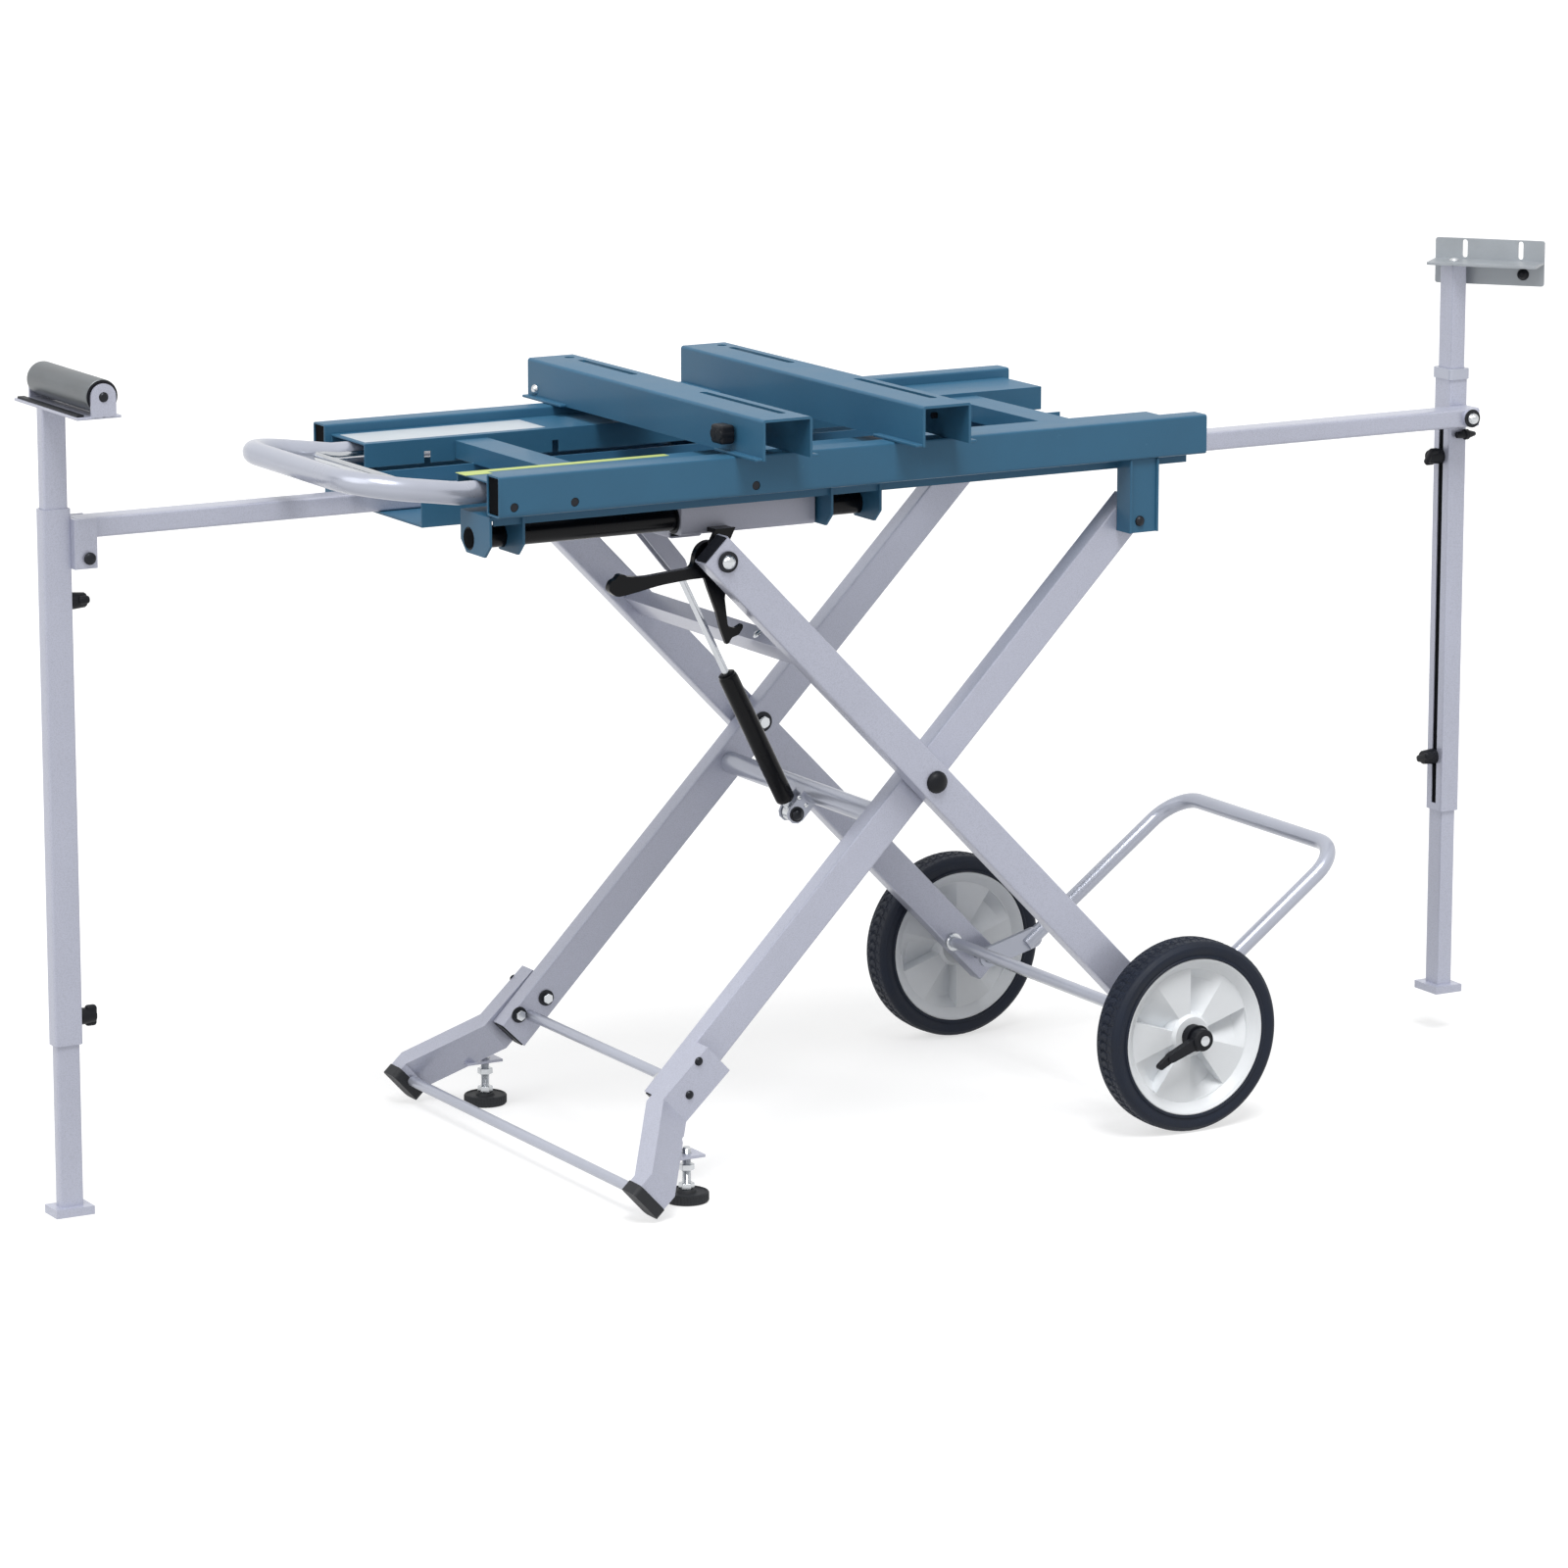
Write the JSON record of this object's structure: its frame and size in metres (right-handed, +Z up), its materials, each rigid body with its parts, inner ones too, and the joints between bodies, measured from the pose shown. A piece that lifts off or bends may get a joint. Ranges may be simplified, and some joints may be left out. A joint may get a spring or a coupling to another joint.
{
  "type": "miter saw stand",
  "caption": "Folding wheeled miter saw stand on scissor legs: slotted saw brackets across a blue top frame, silver extension bars, and end posts with a work roller and a swivelling work stop.",
  "frame": {"origin": "centre of the bounding box on the floor, in the pictured state: standing, bars as shown", "axes": "+X along the rails and bars, towards the wheels and the work stop; +Y away from the pictured side; +Z up"},
  "size_m": [1.8452, 0.6004, 0.9423],
  "materials": {
    "blue_paint": "semi-gloss teal-blue enamel",
    "silver_paint": "semi-gloss lilac-silver enamel",
    "taupe_paint": "satin taupe-grey enamel",
    "black_metal": "semi-gloss black",
    "black_plastic": "fine matte black plastic",
    "rim_plastic": "light grey moulded plastic",
    "tyre_rubber": "matte dark rubber",
    "steel": "bright plated steel",
    "roller_zinc": "dull galvanised steel"
  },
  "bodies": {
    "inner_legs": {"inner_leg_near": "silver_paint", "inner_leg_far": "silver_paint", "inner_cross_tube": "silver_paint", "foot_near": "silver_paint", "foot_far": "silver_paint", "foot_cap_near": "black_plastic", "foot_cap_far": "black_plastic", "foot_rod_upper": "silver_paint", "foot_rod_lower": "silver_paint", "pivot_bolt_near": "black_metal", "pivot_bolt_far": "black_metal"},
    "leveller_near": {"leveller_near": "black_plastic"},
    "leveller_far": {"leveller_far": "black_plastic"},
    "outer_legs": {"outer_leg_near": "silver_paint", "outer_leg_far": "silver_paint", "outer_crossbar": "silver_paint", "wheel_axle": "steel", "lower_cross_rod": "silver_paint", "kick_tube": "silver_paint", "top_bolt_near": "steel", "top_bolt_far": "steel"},
    "wheel_near": {"tyre_near": "tyre_rubber", "rim_near": "rim_plastic"},
    "wheel_far": {"tyre_far": "tyre_rubber", "rim_far": "rim_plastic"},
    "wheel_lock_near": {"wheel_lock_near": "black_plastic"},
    "wheel_lock_far": {"wheel_lock_far": "black_plastic"},
    "carriage": {"slider_near": "taupe_paint", "slider_far": "taupe_paint", "carriage_beam": "taupe_paint"},
    "release_lever": {"release_lever": "black_plastic"},
    "gas_cylinder": {"gas_cylinder": "black_metal"},
    "gas_rod": {"gas_rod": "steel"},
    "top_frame": {"rail_near": "blue_paint", "rail_far": "blue_paint", "tray_near": "blue_paint", "tray_far": "blue_paint", "bar_carrier": "blue_paint", "guide_rod_near": "black_metal", "guide_rod_far": "black_metal", "handle": "silver_paint"},
    "handle_bail": {"handle_bail": "steel"},
    "saw_bracket_left": {"saw_bracket_left": "blue_paint"},
    "saw_bracket_right": {"saw_bracket_right": "blue_paint"},
    "bracket_knob_left": {"bracket_knob_left": "black_plastic"},
    "bracket_knob_right": {"bracket_knob_right": "black_plastic"},
    "bar_left": {"bar_left": "silver_paint"},
    "bar_right": {"bar_right": "silver_paint"},
    "post_left": {"post_tube_left": "silver_paint"},
    "post_right": {"post_tube_right": "silver_paint"},
    "roller_arm": {"roller_arm": "silver_paint"},
    "roller": {"roller": "roller_zinc"},
    "stop_arm": {"stop_arm": "silver_paint"},
    "stop_head": {"stop_head": "silver_paint"},
    "post_leg_left": {"post_leg_left": "silver_paint"},
    "post_leg_right": {"post_leg_right": "silver_paint"},
    "post_knob_left_upper": {"post_knob_left_upper": "black_plastic"},
    "post_knob_left_lower": {"post_knob_left_lower": "black_plastic"},
    "post_knob_right_upper": {"post_knob_right_upper": "black_plastic"},
    "post_knob_right_lower": {"post_knob_right_lower": "black_plastic"}
  },
  "joints": [
    {"name": "fold", "type": "hinge", "parent": "inner_legs", "child": "outer_legs", "pos_m": [0.01693, 0, 0.42245], "axis": [0, -1, 0], "range_deg": [0, 55]},
    {"name": "frame_tilt", "type": "hinge", "parent": "inner_legs", "child": "top_frame", "pos_m": [0.27721, 0, 0.68824], "axis": [0, -1, 0], "range_deg": [0, 27.5]},
    {"name": "carriage_tilt", "type": "hinge", "parent": "outer_legs", "child": "carriage", "pos_m": [-0.24334, 0, 0.68824], "axis": [0, -1, 0], "range_deg": [-27.5, 0]},
    {"name": "gas_cylinder_swing", "type": "hinge", "parent": "inner_legs", "child": "gas_cylinder", "pos_m": [-0.04704, -0.013, 0.35698], "axis": [0, -1, 0], "range_deg": [0, 65]},
    {"name": "gas_rod_slide", "type": "slide", "parent": "gas_cylinder", "child": "gas_rod", "axis": [-0.4493, 0, 0.8934], "range_m": [-0.0862, 0]},
    {"name": "wheel_spin_near", "type": "hinge", "parent": "outer_legs", "child": "wheel_near", "pos_m": [0.3236, -0.25195, 0.1093], "axis": [0, 1, 0], "continuous": true},
    {"name": "wheel_lock_near_turn", "type": "hinge", "parent": "outer_legs", "child": "wheel_lock_near", "pos_m": [0.3236, -0.27675, 0.1093], "axis": [0, 1, 0], "range_deg": [0, 60]},
    {"name": "leveller_near_screw", "type": "slide", "parent": "inner_legs", "child": "leveller_near", "axis": [0, 0, 1], "range_m": [-0.008, 0.008]},
    {"name": "wheel_spin_far", "type": "hinge", "parent": "outer_legs", "child": "wheel_far", "pos_m": [0.3236, 0.25195, 0.1093], "axis": [0, 1, 0], "continuous": true},
    {"name": "wheel_lock_far_turn", "type": "hinge", "parent": "outer_legs", "child": "wheel_lock_far", "pos_m": [0.3236, 0.27675, 0.1093], "axis": [0, 1, 0], "range_deg": [0, 60]},
    {"name": "leveller_far_screw", "type": "slide", "parent": "inner_legs", "child": "leveller_far", "axis": [0, 0, 1], "range_m": [-0.008, 0.008]},
    {"name": "release_lever_pull", "type": "hinge", "parent": "carriage", "child": "release_lever", "pos_m": [-0.24334, 0, 0.68824], "axis": [0, 1, 0], "range_deg": [0, 18], "stiffness_Nm_per_rad": 0.4, "springref_deg": -14.32},
    {"name": "handle_bail_pull", "type": "slide", "parent": "top_frame", "child": "handle_bail", "axis": [-1, 0, 0], "range_m": [0, 0.015], "stiffness_N_per_m": 150, "springref_m": -0.02},
    {"name": "saw_bracket_left_slide", "type": "slide", "parent": "top_frame", "child": "saw_bracket_left", "axis": [1, 0, 0], "range_m": [-0.25, 0.04]},
    {"name": "saw_bracket_right_slide", "type": "slide", "parent": "top_frame", "child": "saw_bracket_right", "axis": [1, 0, 0], "range_m": [-0.04, 0.25]},
    {"name": "bracket_knob_left_turn", "type": "hinge", "parent": "saw_bracket_left", "child": "bracket_knob_left", "pos_m": [-0.22787, -0.19998, 0.82264], "axis": [-1, 0, 0], "range_deg": [0, 180]},
    {"name": "bracket_knob_right_turn", "type": "hinge", "parent": "saw_bracket_right", "child": "bracket_knob_right", "pos_m": [0.02864, -0.19998, 0.82264], "axis": [1, 0, 0], "range_deg": [0, 180]},
    {"name": "bar_left_slide", "type": "slide", "parent": "top_frame", "child": "bar_left", "axis": [-1, 0, 0], "range_m": [-0.18, 0.45]},
    {"name": "bar_right_slide", "type": "slide", "parent": "top_frame", "child": "bar_right", "axis": [1, 0, 0], "range_m": [-0.16, 0.45]},
    {"name": "post_left_fold", "type": "hinge", "parent": "bar_left", "child": "post_left", "pos_m": [-0.86937, 0.0466, 0.70894], "axis": [0, -1, 0], "range_deg": [0, 90]},
    {"name": "post_right_swing", "type": "hinge", "parent": "bar_right", "child": "post_right", "pos_m": [0.83203, -0.0151, 0.74019], "axis": [0, -1, 0], "range_deg": [0, 60]},
    {"name": "roller_arm_slide", "type": "slide", "parent": "post_left", "child": "roller_arm", "axis": [0, 0, 1], "range_m": [-0.09, 0.022]},
    {"name": "stop_arm_slide", "type": "slide", "parent": "post_right", "child": "stop_arm", "axis": [0, 0, 1], "range_m": [-0.08, 0.025]},
    {"name": "post_leg_left_slide", "type": "slide", "parent": "post_left", "child": "post_leg_left", "axis": [0, 0, 1], "range_m": [0, 0.12]},
    {"name": "post_leg_right_slide", "type": "slide", "parent": "post_right", "child": "post_leg_right", "axis": [0, 0, 1], "range_m": [-0.0475, 0.12]},
    {"name": "roller_spin", "type": "hinge", "parent": "roller_arm", "child": "roller", "pos_m": [-0.88357, 0.03, 0.89004], "axis": [0, 1, 0], "continuous": true},
    {"name": "stop_head_turn", "type": "hinge", "parent": "stop_arm", "child": "stop_head", "pos_m": [0.83764, -0.0151, 0.91504], "axis": [0, 0, 1], "range_deg": [-45, 45]},
    {"name": "post_knob_left_upper_turn", "type": "hinge", "parent": "roller_arm", "child": "post_knob_left_upper", "pos_m": [-0.88426, 0.0466, 0.66204], "axis": [1, 0, 0], "range_deg": [0, 180]},
    {"name": "post_knob_left_lower_turn", "type": "hinge", "parent": "post_leg_left", "child": "post_knob_left_lower", "pos_m": [-0.88426, 0.0466, 0.21404], "axis": [1, 0, 0], "range_deg": [0, 180]},
    {"name": "post_knob_right_upper_turn", "type": "hinge", "parent": "stop_arm", "child": "post_knob_right_upper", "pos_m": [0.82483, -0.0151, 0.69004], "axis": [-1, 0, 0], "range_deg": [0, 180]},
    {"name": "post_knob_right_lower_turn", "type": "hinge", "parent": "post_leg_right", "child": "post_knob_right_lower", "pos_m": [0.82483, -0.0151, 0.33204], "axis": [-1, 0, 0], "range_deg": [0, 180]}
  ],
  "couplings": [
    {"joint": "frame_tilt", "follows": "fold", "ratio": 0.5},
    {"joint": "carriage_tilt", "follows": "fold", "ratio": -0.5},
    {"joint": "gas_cylinder_swing", "follows": "fold", "ratio": 1.1793},
    {"joint": "gas_rod_slide", "follows": "fold", "m_per_rad": -0.08946}
  ]
}
